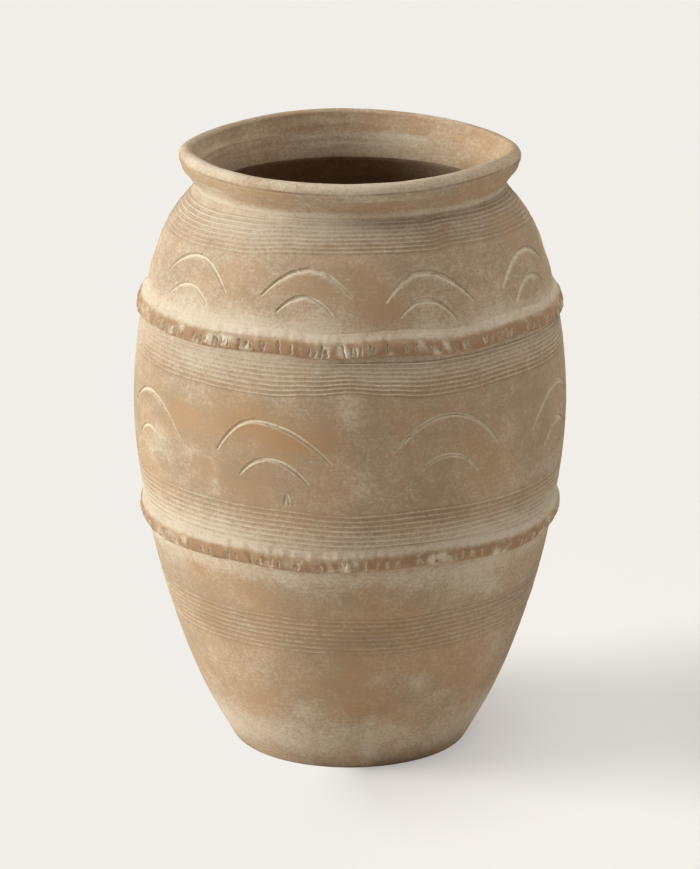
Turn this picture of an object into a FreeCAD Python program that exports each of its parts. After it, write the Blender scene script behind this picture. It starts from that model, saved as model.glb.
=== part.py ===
import FreeCAD, Part
import math
import os

V = FreeCAD.Vector

# Greek pithos: a storage jar raised in ring courses that are luted together, with an applied and
# slashed cordon over each joint of the body, a flared collar and a hand-rolled lip that waves.
# Millimetres, +Z up, origin in the middle of the foot.
# A bearing is in degrees round the jar, from -Y towards +X.

# Body outline
foot_radius = 82.0
foot_bevel = 1.5
belly_radius = 149.2
belly_height = 240.0
neck_radius = 105.4
shoulder_rise = 153.5
neck_height = belly_height + shoulder_rise
# from foot to belly: share of the belly's height, share of the way out
lower_outline_shares = ((0, 0), (0.132, 0.259), (0.418, 0.647), (0.689, 0.879), (1, 1))
# from belly to neck: share of the way up, share of the way in
upper_outline_shares = ((0.362, 0.098), (0.653, 0.324), (0.877, 0.655), (1, 1))

# Wall and floor
wall_thickness = 9.5
floor_thickness = 12.0
foot_ring_width = 11.0
floor_radius = foot_radius - foot_ring_width
scarf_rise = 9.0
inner_outline_points = 9
course = 21.0
inner_course = 28.0
stations = 60

# Cordons
lower_cordon_drop = 76.6
upper_cordon_lift = 70.1
lower_cordon_height = belly_height - lower_cordon_drop
upper_cordon_height = belly_height + upper_cordon_lift
cordon_rise = 17.0
cordon_face = 8.6
cordon_foot = 2.6
cordon_proud = 4.6
cordon_crest = 3.0
cordon_shelf = 3.8
seat_margin = 3.0
joint_share = 0.35
lower_sway = 1.7
lower_lobes = 6
lower_first_lobe = 22.0
upper_sway = 1.4
upper_lobes = 10
upper_first_lobe = 14.0

# Slashes across each cordon
slash_count = 96
slash_width = 2.6
slash_depth = 1.6
slash_start = 0.8
slash_length = 7.4
slash_lean = 0.4
slash_overrun = 1.0
slash_spacing_shares = (1.3, 0.7, 0.9, 1.4, 0.6, 1.1, 0.8, 1.2, 1.0)
slash_depth_shares = (1.0, 0.6, 0.9, 0.7, 1.1)

# Lines combed round the shoulder, under the neck
comb_teeth = 8
comb_pitch = 2.9
comb_depth = 0.6
comb_drop = 4.6

# Collar
collar_rise = 13.5
collar_flare = 8.4
throat_step = 1.8
throat_lift = 2.5
mouth_flare = 5.0
collar_top = neck_height + collar_rise
collar_top_radius = neck_radius + collar_flare
# share of the collar's height, share of its flare
collar_flare_shares = ((0.34, 0.2), (0.63, 0.5), (0.93, 0.92))
collar_mouth_shares = ((0.45, 0.3),)

# Lip
lip_rise = 12.9
lip_inset = 2.8
lip_half_width = 5.3
lip_height = collar_top + lip_rise
lip_radius = collar_top_radius - lip_inset
lip_wave = 1.64
# lobes round the mouth, share of the wave's height, bearing of the first crest
lip_wave_shares = ((3, 1.0, 58.0), (2, 0.41, 30.0), (5, 0.22, -9.0))
lip_roll_start = -15.0
lip_roll_end = 180.0
lip_roll_steps = 5


def at_bearing(radius, bearing, height):
    turn = math.radians(bearing)
    return V(radius * math.sin(turn), -radius * math.cos(turn), height)


def stood_sections(section):
    # the radial sections of a ring built up by hand, all at the same stations, so that rings and
    # cordons meet face to face; section(bearing) lists (radius, height) round the outline
    stood = []
    for i in range(stations):
        bearing = 360 * i / stations
        stood.append([at_bearing(radius, bearing, height) for radius, height in section(bearing)])
    return stood


def wavy_ring(section):
    # a ring whose section changes round the jar: a ruled loft from station to station
    outlines = [Part.makePolygon(points + points[:1]) for points in stood_sections(section)]
    return Part.makeLoft(outlines, True, True, True)


def even_ring(points):
    # a ring with the same section all the way round: flat panels from station to station
    sections = stood_sections(lambda bearing: [(point.x, point.z) for point in points])
    panels = []
    for here, there in zip(sections, sections[1:] + sections[:1]):
        for i in range(len(points)):
            corners = [here[i - 1], there[i - 1], there[i], here[i]]
            panels.append(Part.Face(Part.makePolygon(corners + corners[:1])))
    return Part.Solid(Part.Shell(panels))


def spline(points):
    curve = Part.BSplineCurve()
    curve.interpolate(points)
    return curve


def body_outline():
    swell = belly_radius - foot_radius
    rise = neck_height - belly_height
    drop = belly_radius - neck_radius
    points = [V(foot_radius + swell * out, 0, belly_height * up) for up, out in lower_outline_shares]
    points += [V(belly_radius - drop * back, 0, belly_height + rise * up)
               for up, back in upper_outline_shares]
    return spline(points)


def inwards(outline, place, depth):
    # a point under the wall's surface, measured square to it
    along = outline.tangent(place)[0]
    return outline.value(place) - V(along.z, 0, -along.x) * depth


def offset_inwards(outline):
    # the wall is equally thick all the way up
    first = outline.FirstParameter
    span = outline.LastParameter - first
    places = [first + span * i / (inner_outline_points - 1) for i in range(inner_outline_points)]
    return spline([inwards(outline, place, wall_thickness) for place in places])


def place_at(outline, height):
    level = Part.LineSegment(V(0, 0, height), V(2 * belly_radius, 0, height))
    crossing = outline.intersectCC(level)[0]
    return outline.parameter(V(crossing.X, crossing.Y, crossing.Z))


def point_at(outline, height):
    return outline.value(place_at(outline, height))


def courses(outline, start, end, longest=course):
    # the clay is laid in even courses along an outline, from one height to another
    first = place_at(outline, start)
    last = place_at(outline, end)
    count = math.ceil(outline.length(min(first, last), max(first, last)) / longest)
    return [outline.value(first + (last - first) * i / count) for i in range(count + 1)]


def between(start, end, height):
    share = (height - start.z) / (end.z - start.z)
    return start + (end - start) * share


def cordon_seat(outline, cordon_height):
    # the wall is scraped to a straight taper where a cordon is luted on
    low = point_at(outline, cordon_height - seat_margin)
    high = point_at(outline, cordon_height + cordon_rise + seat_margin)
    return low, high


def joint_height(cordon_height):
    return cordon_height + cordon_rise * joint_share


def scarf(seat, inside, cordon_height):
    # a slanted joint under the cordon, higher on the inside, so that the ring above laps outside
    height = joint_height(cordon_height)
    return between(*seat, height), point_at(inside, height + scarf_rise)


def floor_disc(inside):
    # a slab with a splayed edge, clasped by the first ring
    rim = point_at(inside, floor_thickness)
    outlines = []
    for radius, height in ((floor_radius, 0), (rim.x, rim.z)):
        points = [at_bearing(radius, 360 * i / stations, height) for i in range(stations)]
        outlines.append(Part.makePolygon(points + points[:1]))
    return Part.makeLoft(outlines, True, True)


def lower_wall(outside, inside, seat, scarf_top):
    foot = [V(floor_radius, 0, 0), V(foot_radius - foot_bevel, 0, 0)]
    outer = courses(outside, foot_bevel, seat[0].z)
    inner = courses(inside, scarf_top[1].z, floor_thickness, inner_course)
    return even_ring(foot + outer + [scarf_top[0]] + inner)


def belly_wall(outside, inside, seats, scarfs):
    outer = courses(outside, seats[0][1].z, seats[1][0].z)
    inner = courses(inside, scarfs[1][1].z, scarfs[0][1].z, inner_course)
    return even_ring([scarfs[0][0]] + outer + [scarfs[1][0]] + inner)


def combed(outline, low):
    # fine ridges left standing between the grooves of a comb drawn round the jar
    points = []
    for i in range(2 * comb_teeth - 1):
        place = place_at(outline, low + comb_pitch / 2 * i)
        points.append(inwards(outline, place, comb_depth * (i % 2)))
    return points


def shoulder_wall(outside, inside, seat, scarf_foot):
    comb_low = neck_height - comb_drop - comb_pitch * (comb_teeth - 1)
    outer = courses(outside, seat[1].z, comb_low)[:-1] + combed(outside, comb_low) + [V(neck_radius, 0, neck_height)]
    neck_inside = inside.value(inside.LastParameter)
    inner = courses(inside, neck_inside.z, scarf_foot[1].z, inner_course)
    return even_ring([scarf_foot[0]] + outer + inner)


def throat(inside):
    # the narrowest place, where the collar overhangs the wall's inside a little
    neck_inside = inside.value(inside.LastParameter)
    return V(neck_inside.x - throat_step, 0, neck_inside.z + throat_lift)


def collar_mouth(inside):
    return throat(inside).x + mouth_flare


def neck_collar(inside):
    # stands on the bevelled mouth of the shoulder, narrows at the throat and flares to the lip
    narrow = throat(inside)
    outer = [V(neck_radius + collar_flare * out, 0, neck_height + collar_rise * up)
             for up, out in collar_flare_shares]
    inner = [V(narrow.x + mouth_flare * out, 0, narrow.z + (collar_top - narrow.z) * up)
             for up, out in reversed(collar_mouth_shares)]
    return even_ring([inside.value(inside.LastParameter), V(neck_radius, 0, neck_height)] + outer
                     + [V(collar_top_radius, 0, collar_top), V(collar_mouth(inside), 0, collar_top)]
                     + inner + [narrow])


def lip_crest(bearing):
    return lip_height + lip_wave * sum(share * math.cos(math.radians(lobes * (bearing - crest)))
                                       for lobes, share, crest in lip_wave_shares)


def rim_roll(inside):
    # a rolled coil on the collar's flat top, whose crest rises and falls round the mouth
    def section(bearing):
        middle = lip_crest(bearing) - lip_half_width
        outline = [(collar_mouth(inside), collar_top), (collar_top_radius, collar_top)]
        for step in range(lip_roll_steps + 1):
            turn = math.radians(lip_roll_start + (lip_roll_end - lip_roll_start) * step / lip_roll_steps)
            outline.append((lip_radius + lip_half_width * math.cos(turn),
                            middle + lip_half_width * math.sin(turn)))
        return outline

    return wavy_ring(section)


def slash(bearing, foot, head, depth):
    # the wedge that a stick leaves: its edge points inwards, and it leans as it rises up the face
    half_turn = math.degrees(slash_width / (2 * foot[0]))
    mouth_half = half_turn * (depth + slash_overrun) / depth
    corners = [at_bearing(foot[0] - depth, bearing, foot[1]),
               at_bearing(foot[0] + slash_overrun, bearing - mouth_half, foot[1]),
               at_bearing(foot[0] + slash_overrun, bearing + mouth_half, foot[1])]
    along = at_bearing(head[0], bearing + slash_lean * half_turn, head[1]) - at_bearing(foot[0], bearing, foot[1])
    return Part.Face(Part.makePolygon(corners + corners[:1])).extrude(along)


def cordon(cordon_height, seat, sway, lobes, first_lobe):
    # a strap pressed on the seat, sharp below and wiped into the wall above, slashed across its face
    def rise(bearing):
        return cordon_height + sway * math.cos(math.radians(lobes * (bearing - first_lobe)))

    def section(bearing):
        outline = ((0, 0), (cordon_foot, 0), (cordon_proud, cordon_crest), (cordon_shelf, cordon_face),
                   (0, cordon_rise))
        base = rise(bearing)
        return [(between(*seat, base + up).x + out, base + up) for out, up in outline]

    slashes = []
    bearing = 0.0
    for i in range(slash_count):
        bearing += 360 / slash_count * slash_spacing_shares[i % len(slash_spacing_shares)]
        low = rise(bearing) + slash_start
        high = low + slash_length
        foot = (between(*seat, low).x + cordon_proud, low)
        head = (between(*seat, high).x + cordon_shelf, high)
        slashes.append(slash(bearing, foot, head, slash_depth * slash_depth_shares[i % len(slash_depth_shares)]))
    return wavy_ring(section).cut(slashes).Solids[0]


def pithos():
    outside = body_outline()
    inside = offset_inwards(outside)
    seats = [cordon_seat(outside, height) for height in (lower_cordon_height, upper_cordon_height)]
    scarfs = [scarf(seats[0], inside, lower_cordon_height), scarf(seats[1], inside, upper_cordon_height)]
    return {
        "floor_disc": floor_disc(inside),
        "lower_wall": lower_wall(outside, inside, seats[0], scarfs[0]),
        "belly_wall": belly_wall(outside, inside, seats, scarfs),
        "shoulder_wall": shoulder_wall(outside, inside, seats[1], scarfs[1]),
        "neck_collar": neck_collar(inside),
        "rim_roll": rim_roll(inside),
        "lower_cordon": cordon(lower_cordon_height, seats[0], lower_sway, lower_lobes, lower_first_lobe),
        "upper_cordon": cordon(upper_cordon_height, seats[1], upper_sway, upper_lobes, upper_first_lobe),
    }


os.makedirs("parts", exist_ok=True)
for node, shape in pithos().items():
    print(node, shape.ShapeType, "valid" if shape.isValid() else "not valid",
          round(shape.Volume / 1000, 1), "cm3")
    shape.exportStep(f"parts/{node}.step")
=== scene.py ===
import bmesh
import bpy
import math
import numpy as np
import random
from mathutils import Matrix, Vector


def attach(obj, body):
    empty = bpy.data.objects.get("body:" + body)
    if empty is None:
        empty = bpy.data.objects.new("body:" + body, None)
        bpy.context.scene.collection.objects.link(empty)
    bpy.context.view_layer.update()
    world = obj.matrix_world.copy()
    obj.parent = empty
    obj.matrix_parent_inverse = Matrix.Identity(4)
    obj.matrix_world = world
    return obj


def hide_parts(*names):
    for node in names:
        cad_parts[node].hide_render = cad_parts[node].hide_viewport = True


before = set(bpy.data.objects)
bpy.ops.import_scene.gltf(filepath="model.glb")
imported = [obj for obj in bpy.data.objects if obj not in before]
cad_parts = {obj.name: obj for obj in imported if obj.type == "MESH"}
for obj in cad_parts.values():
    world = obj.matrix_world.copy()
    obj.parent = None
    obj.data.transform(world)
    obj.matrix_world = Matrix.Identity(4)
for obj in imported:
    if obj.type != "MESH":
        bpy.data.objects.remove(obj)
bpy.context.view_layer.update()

random.seed(7)

# A Greek pithos: the jar's sizes are in millimetres and become metres where a vertex is placed.
# A bearing is in degrees round the jar, 0 at the front (-Y) and growing towards +X.
mm = 0.001

print("stage: camera")
camera = {"lens": 160.96, "sensor": 36, "distance": 2.573, "height": 0.9965, "pitch": 16.892}  # metres, degrees
eye = bpy.data.cameras.new("eye")
eye.lens = camera["lens"]
eye.sensor_width = camera["sensor"]
eyeObject = bpy.data.objects.new("eye", eye)
eyeObject.location = (0, -camera["distance"], camera["height"])
eyeObject.rotation_euler = (math.radians(90 - camera["pitch"]), 0, 0)
bpy.context.scene.collection.objects.link(eyeObject)
bpy.context.scene.camera = eyeObject


# Small helpers

def hexColour(code):
    # sRGB hex to the linear colour that a shader takes
    parts = [int(code[i:i + 2], 16) / 255 for i in (1, 3, 5)]
    return [p / 12.92 if p <= 0.04045 else ((p + 0.055) / 1.055) ** 2.4 for p in parts] + [1]


def smooth(low, high, values):
    share = np.clip((np.asarray(values, float) - low) / (high - low), 0, 1)
    return share * share * (3 - 2 * share)


def bell(distance, half):
    # 1 in the middle, fading to both sides
    return np.exp(-(distance / half) ** 2)


def around(bearing, centre):
    # signed difference of two bearings, -180 to 180
    return (np.asarray(bearing, float) - centre + 180) % 360 - 180


def roundTable(bearings, table, column):
    # a table of places round the jar, joined smoothly and closed at the back
    places = [row[0] for row in table]
    values = [row[column] for row in table]
    places = [places[-1] - 360] + places + [places[0] + 360]
    values = [values[-1]] + values + [values[0]]
    spot = (np.asarray(bearings, float) - places[1]) % 360 + places[1]
    i = np.clip(np.searchsorted(places, spot, side="right") - 1, 0, len(places) - 2)
    low, high = np.take(places, i), np.take(places, i + 1)
    share = smooth(0, 1, (spot - low) / (high - low))
    return np.take(values, i) * (1 - share) + np.take(values, i + 1) * share


def clayNoise(bearing, height, size, seed, flat=1.0):
    # soft hollows and swells about `size` mm across that close round the jar, from waves of chance direction;
    # flat over 1 lays them in level streaks
    chance = np.random.default_rng(int(seed * 10))
    ways = chance.normal(size=(3, 16))
    ways *= chance.uniform(0.6, 1.6, 16) / np.linalg.norm(ways, axis=0)
    turns = np.radians(bearing)
    spots = np.column_stack((140 * np.sin(turns), -140 * np.cos(turns), np.asarray(height) * flat))
    return 0.09 * np.cos(spots @ ways * (math.tau / (2.2 * size)) + chance.uniform(0, math.tau, 16)).sum(axis=1)


# The jar's own lines, the same as the CAD's

jar = {
    "footRadius": 82.0, "footBevel": 1.5, "bellyRadius": 149.2, "bellyHeight": 240.0,
    "neckRadius": 105.4, "neckHeight": 393.5, "wallThickness": 9.5, "floorThickness": 12.0, "floorRadius": 71.0,
    # (share of the height, share of the widening) from foot to belly, then of the narrowing from belly to neck
    "lowerShares": ((0, 0), (0.132, 0.259), (0.418, 0.647), (0.689, 0.879), (1, 1)),
    "upperShares": ((0.362, 0.098), (0.653, 0.324), (0.877, 0.655), (1, 1)),
    "wobble": 0.5, "steps": 300,
    "skin": (0.3, 1.2),  # how far behind the outline a place may lie and still be outside, fading
}

swell = jar["bellyRadius"] - jar["footRadius"]
drop = jar["bellyRadius"] - jar["neckRadius"]
rise = jar["neckHeight"] - jar["bellyHeight"]
outlineHeights = np.array([jar["bellyHeight"] * up for up, out in jar["lowerShares"]]
                          + [jar["bellyHeight"] + rise * up for up, back in jar["upperShares"]])
outlineRadii = np.array([jar["footRadius"] + swell * out for up, out in jar["lowerShares"]]
                        + [jar["bellyRadius"] - drop * back for up, back in jar["upperShares"]])
outlineSlopes = np.gradient(outlineRadii, outlineHeights)


def outlineRadius(heights):
    heights = np.clip(heights, 0, jar["neckHeight"])
    i = np.clip(np.searchsorted(outlineHeights, heights) - 1, 0, len(outlineHeights) - 2)
    span = outlineHeights[i + 1] - outlineHeights[i]
    t = (heights - outlineHeights[i]) / span
    return ((1 + 2 * t) * (1 - t) ** 2 * outlineRadii[i] + t * (1 - t) ** 2 * span * outlineSlopes[i]
            + t * t * (3 - 2 * t) * outlineRadii[i + 1] + t * t * (t - 1) * span * outlineSlopes[i + 1])


def wallLean(heights):
    # the outward direction square to the wall, as (out, up)
    slope = outlineRadius(np.asarray(heights) + 0.5) - outlineRadius(np.asarray(heights) - 0.5)
    length = np.sqrt(1 + slope ** 2)
    return 1 / length, -slope / length


sampleHeights = np.linspace(0, jar["neckHeight"], 80)
leanOut, leanUp = wallLean(np.clip(sampleHeights, 0.5, jar["neckHeight"] - 0.5))
insideHeights = sampleHeights - leanUp * jar["wallThickness"]
insideRadii = outlineRadius(sampleHeights) - leanOut * jar["wallThickness"]
neckInner = (float(insideRadii[-1]), float(insideHeights[-1]))


def insideRadius(heights):
    return np.interp(heights, insideHeights, insideRadii)


cordonShape = {
    "rise": 17.0, "joint": 0.35, "scarfRise": 9.0, "seatMargin": 3.0, "steps": 1500, "faceTop": (8.4, 9.8),
    "wiped": (9, 12), "markMiddle": 4.4, "markReach": 3.2,
    # (out from the wall, up from the bottom): sharp below, a rubbed face, then wiped into the wall
    "section": ((-0.6, 0.0), (1.3, -0.1), (2.5, 0.1), (3.3, 0.6), (3.9, 1.3), (4.25, 2.1), (4.5, 3.0),
                (4.6, 3.9), (4.6, 4.8), (4.5, 5.7), (4.35, 6.6), (4.15, 7.4), (3.9, 8.2), (3.5, 9.0),
                (2.95, 10.1), (2.4, 11.3), (1.75, 12.6), (1.05, 13.9), (0.3, 15.2), (-0.4, 16.2), (-1.0, 17.0)),
    "backDepth": 1, "backHeights": (11.3, 5.7, 0.6),
}
# sway: (bearing, rise); held: places above its bottom where the wall behind stays level;
# pale: lumps of pale clay on the face as (bearing, height, half widths, strength)
cordons = {
    "lower": {
        "height": 163.4, "held": (0, 8),
        "pale": ((30, 168, 12, 30, 0.12), (48, 168, 8, 30, 0.2), (-4, 168, 5, 30, 0.15)),
        "sway": ((-62, -2.0), (-44, -0.5), (-30, 0.6), (-10, -1.6), (22, 1.5), (53, -1.6), (90, 1.2),
                 (125, -1.1), (160, 1.3), (200, -1.4), (240, 1.2), (272, -1.0)),
    },
    "upper": {
        "height": 310.1, "held": (2,),
        "pale": ((-50, 315, 16, 30, 0.25), (-2, 315, 4, 30, 0.3), (22, 315, 14, 30, -0.1)),
        "sway": ((-48, -0.9), (-20, 1.2), (-8, -0.8), (13, 1.4), (30, -1.1), (48, 1.2), (75, -0.8),
                 (110, 1.0), (145, -1.1), (180, 0.9), (215, -0.9), (250, 1.1), (285, -1.0)),
    },
}


def seatLine(which):
    low = cordons[which]["height"] - cordonShape["seatMargin"]
    high = cordons[which]["height"] + cordonShape["rise"] + cordonShape["seatMargin"]
    return low, high, float(outlineRadius(low)), float(outlineRadius(high))


def wallRadius(heights):
    # the wall's outside, scraped straight under each cordon
    radii = outlineRadius(heights)
    for which in cordons:
        low, high, lowRadius, highRadius = seatLine(which)
        straight = lowRadius + (highRadius - lowRadius) * (np.asarray(heights) - low) / (high - low)
        radii = np.where((heights > low) & (heights < high), straight, radii)
    return radii


# Lines left by a comb of eight teeth: for each bearing, where the lowest and highest ridge run

comb = {
    # shade and the places below it: a painted shade line under each ridge
    "ridges": 8, "depth": 0.55, "proud": 0.15, "ridgeShare": 0.17, "shade": 0.22,
    "fade": (0.35, 0.75), "shadeBelow": 0.32, "shadeShare": 0.14,  # all as shares of the pitch
    "rowShares": (-0.5, -0.32, -0.18, 0, 0.18, 0.32), "lastRow": 0.55,
}
combBands = {
    "low": {
        "low": 99.8, "high": 125.0,
        "edges": ((-50, 99.6, 124.6), (15, 99.8, 124.4), (32, 101.0, 126.2), (55, 100.8, 126.0),
                  (120, 99.4, 124.8), (190, 100.6, 125.6), (260, 99.2, 124.2)),
    },
    "aboveLower": {
        "low": 178.6, "high": 204.0,
        "edges": ((-50, 179.4, 205.6), (-20, 179.2, 205.0), (0, 177.9, 202.4), (20, 178.4, 204.6),
                  (40, 180.2, 204.0), (100, 178.8, 203.4), (170, 179.8, 205.2), (230, 178.0, 203.0),
                  (280, 179.0, 204.6)),
    },
    "underUpper": {
        "low": 285.0, "high": 306.0,
        "edges": ((-50, 284.6, 306.0), (-20, 283.7, 305.5), (-10, 285.7, 305.6), (0, 288.1, 306.4),
                  (10, 286.0, 306.1), (20, 283.8, 305.0), (30, 284.2, 305.6), (45, 286.4, 307.0),
                  (100, 285.4, 306.0), (170, 284.2, 305.0), (230, 286.4, 306.8), (280, 285.0, 305.6)),
    },
    "neck": {
        "low": 368.6, "high": 389.0,
        "edges": ((-60, 369.2, 388.6), (-36, 371.0, 390.0), (-18, 374.6, 391.6), (5, 375.2, 392.0),
                  (28, 374.6, 391.6), (33, 376.2, 392.4), (60, 374.6, 391.4), (100, 370.5, 389.5),
                  (150, 369.4, 388.6), (240, 368.2, 389.2)),
    },
}
for band in combBands.values():
    band["pitch"] = (band["high"] - band["low"]) / (comb["ridges"] - 1)


def movedHeight(bearing, height):
    # the courses sway a little round the jar, and every row of the mesh follows the comb lines
    level = [0.0, jar["neckHeight"]]
    level += [cordon["height"] + above for cordon in cordons.values() for above in cordon["held"]]
    courses = {place: np.full(len(bearing), place) for place in level}
    for band in combBands.values():
        courses[band["low"]] = roundTable(bearing, band["edges"], 1)
        courses[band["high"]] = roundTable(bearing, band["edges"], 2)
    knots = np.array(sorted(courses))
    moved = np.array([courses[knot] for knot in sorted(courses)])
    i = np.clip(np.searchsorted(knots, height, side="right") - 1, 0, len(knots) - 2)
    share = np.clip((height - knots[i]) / (knots[i + 1] - knots[i]), 0, 1)
    columns = np.arange(len(bearing))
    return moved[i, columns] * (1 - share) + moved[i + 1, columns] * share


def combRidges(height):
    # how much of a comb band a place is in, how much of a ridge it is, and how much of the painted shade line
    # under a ridge
    inBand, ridge, under = np.zeros((3, len(height)))
    last = comb["ridges"] - 1
    fadeFrom, fadeTo = comb["fade"]
    for band in combBands.values():
        place = (height - band["low"]) / band["pitch"]
        within = smooth(-fadeTo, -fadeFrom, place) * (1 - smooth(last + fadeFrom, last + fadeTo, place))
        phase = place - np.clip(np.round(place), 0, last)
        inBand = np.maximum(inBand, within)
        ridge = np.maximum(ridge, within * bell(phase, comb["ridgeShare"]))
        under = np.maximum(under, within * bell(phase + comb["shadeBelow"], comb["shadeShare"]))
    return inBand, ridge, under


# Pairs of arcs cut with a stick, a large one over a small one: left end, apex and right end as
# (bearing, height), and how hard the stick was pressed

stroke = {
    "width": 2.8, "depth": 1.6, "bend": 2.1, "samples": 50, "taper": 0.45, "hollow": 0.9,
    "burr": 0.35, "burrPlace": 1.35, "burrHalf": 0.38, "burrInside": 0.35,  # places in half widths of the line
    # the dark line is painted shade along each groove's upper side, partly the cut's own darker clay
    "fillPlace": -0.15, "fillHalf": 0.95, "paintedShade": 0.6, "paintedShadePlace": 0.95, "paintedShadeHalf": 0.3,
    "marginHeight": 8, "marginTurn": 4, "meshReach": 3.6, "meshCuts": 4,
}
upperArcs = [
    ((-67, 344.5), (-51.6, 362.6), (-37.9, 343.9), 1.0), ((-62, 333), (-52.4, 343.8), (-44, 334.3), 0.9),
    ((-25.7, 346.8), (-12.0, 364.2), (0.7, 347.2), 1.0), ((-20.8, 337.2), (-12.9, 347.6), (-4.7, 335.8), 1.0),
    ((10.2, 344.8), (21.5, 361.4), (36.8, 340.8), 1.0), ((14.2, 335.1), (21.6, 344.4), (30.2, 331.0), 0.95),
    ((49.2, 343.9), (64.6, 361.4), (79.0, 343.6), 1.0), ((53.8, 332.0), (63.6, 344.4), (73.2, 334.0), 0.9),
]
lowerArcs = [
    ((-80.5, 240), (-65, 265.5), (-49.2, 240.7), 1.0), ((-74, 226), (-65.2, 240.5), (-54.8, 223.6), 0.9),
    ((-36, 242.1), (-24.5, 265.2), (-4.75, 239.3), 1.0), ((-29.2, 227.6), (-21, 240.2), (-10.8, 225), 1.0),
    ((10.8, 246.4), (26.2, 269.4), (41.5, 243.6), 1.0), ((17.5, 231.4), (26.0, 242.1), (35.0, 227.6), 0.95),
    ((55.4, 245.0), (70.5, 268.0), (86.0, 243.0), 1.0), ((62.0, 229.5), (70.8, 242.0), (80.0, 228.0), 0.9),
    # a small loop and a curl that the stick left
    ((-16.9, 209.4), (-16.4, 216.4), (-15.7, 209.6), 0.8), ((14.1, 252.6), (15.5, 257.4), (16.4, 253.6), 0.55),
]


def arcsBehind(arcs, count, first, spacing, large, small):
    # the row goes on round the back, each pair a little different; large and small give an arc's left end,
    # apex and right end as (turn from the middle, height)
    for i in range(count):
        middle = first + spacing * i + random.uniform(-1.5, 1.5)
        lift = random.uniform(-2, 2)
        for points, weight in ((large, 1.0), (small, 0.95)):
            arcs.append(tuple((middle + turn, height + lift) for turn, height in points) + (weight,))


arcsBehind(upperArcs, 6, 97.6, 35.2, ((-12.8, 344.5), (-1, 362.5), (13, 343.8)),
           ((-8, 334.4), (0, 345), (8.2, 333.6)))
arcsBehind(lowerArcs, 4, 116, 45.5, ((-15.4, 243), (-1, 267), (15.6, 242)), ((-9, 228.6), (0, 241), (9.3, 227)))


def arcLine(arc):
    # places along one arc: bearing, height, and how far along it is, -1 to 1
    (leftBearing, leftHeight), (topBearing, topHeight), (rightBearing, rightHeight) = arc[:3]
    along = np.linspace(-1, 1, stroke["samples"])
    bearings = np.where(along < 0, topBearing + (topBearing - leftBearing) * along,
                        topBearing + (rightBearing - topBearing) * along)
    fall = np.where(along < 0, topHeight - leftHeight, topHeight - rightHeight)
    return bearings, topHeight - fall * np.abs(along) ** stroke["bend"], along


def nearArc(bearing, height, arc):
    # for each place: distance to the arc's line in mm, which side of it, and how far along
    bearings, heights, along = arcLine(arc)
    scale = math.radians(1) * float(outlineRadius(heights[len(heights) // 2]))
    x = around(bearing, arc[1][0]) * scale
    lineX = around(bearings, arc[1][0]) * scale
    best = np.full(len(x), np.inf)
    side = np.zeros(len(x))
    where = np.zeros(len(x))
    for i in range(len(lineX) - 1):
        stepX, stepZ = lineX[i + 1] - lineX[i], heights[i + 1] - heights[i]
        t = np.clip(((x - lineX[i]) * stepX + (height - heights[i]) * stepZ) / (stepX ** 2 + stepZ ** 2), 0, 1)
        gapX, gapZ = x - lineX[i] - t * stepX, height - heights[i] - t * stepZ
        gap = np.hypot(gapX, gapZ)
        closer = gap < best
        best = np.where(closer, gap, best)
        side = np.where(closer, np.sign(stepX * gapZ - stepZ * gapX), side)
        where = np.where(closer, along[i] + t * (along[i + 1] - along[i]), where)
    return best, side, where


def nearBox(bearing, height, arc):
    # the places that an arc can reach, by their number
    left, top, right = arc[:3]
    reach = max(top[0] - left[0], right[0] - top[0]) + stroke["marginTurn"]
    lowest = min(left[1], right[1]) - stroke["marginHeight"]
    highest = top[1] + stroke["marginHeight"]
    return np.nonzero((height > lowest) & (height < highest) & (np.abs(around(bearing, top[0])) < reach))[0]


def cutArcs(bearing, height, arcs):
    # relief in mm, pale fill, and a dark line of painted shade along the groove's upper side, partly the cut's
    # own darker clay
    relief, fill, paintedShade = np.zeros((3, len(bearing)))
    for arc in arcs:
        close = nearBox(bearing, height, arc)
        if not len(close):
            continue
        gap, side, where = nearArc(bearing[close], height[close], arc)
        taper = (1 - stroke["taper"] * np.abs(where) ** 3) * arc[3]
        x = gap / (stroke["width"] / 2 * taper)
        groove = np.where(x < 1, -(1 - x) * (1 + stroke["hollow"] * x) * stroke["depth"] * taper, 0)
        burr = stroke["burr"] * bell(x - stroke["burrPlace"], stroke["burrHalf"]) * taper
        relief[close] += groove + burr * np.where(side < 0, 1.0, stroke["burrInside"])
        across = x * side
        fill[close] = np.maximum(fill[close], bell(across - stroke["fillPlace"], stroke["fillHalf"]))
        dark = stroke["paintedShade"] * bell(across - stroke["paintedShadePlace"], stroke["paintedShadeHalf"]) * taper
        paintedShade[close] = np.maximum(paintedShade[close], dark)
    return relief, fill, paintedShade


# Where the chalky wash lies: a thin veil, thicker in level bands that fade (height, half height below, half
# height above, strength) and in brushed patches (bearing, height, half width in degrees, half height, strength)

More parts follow.
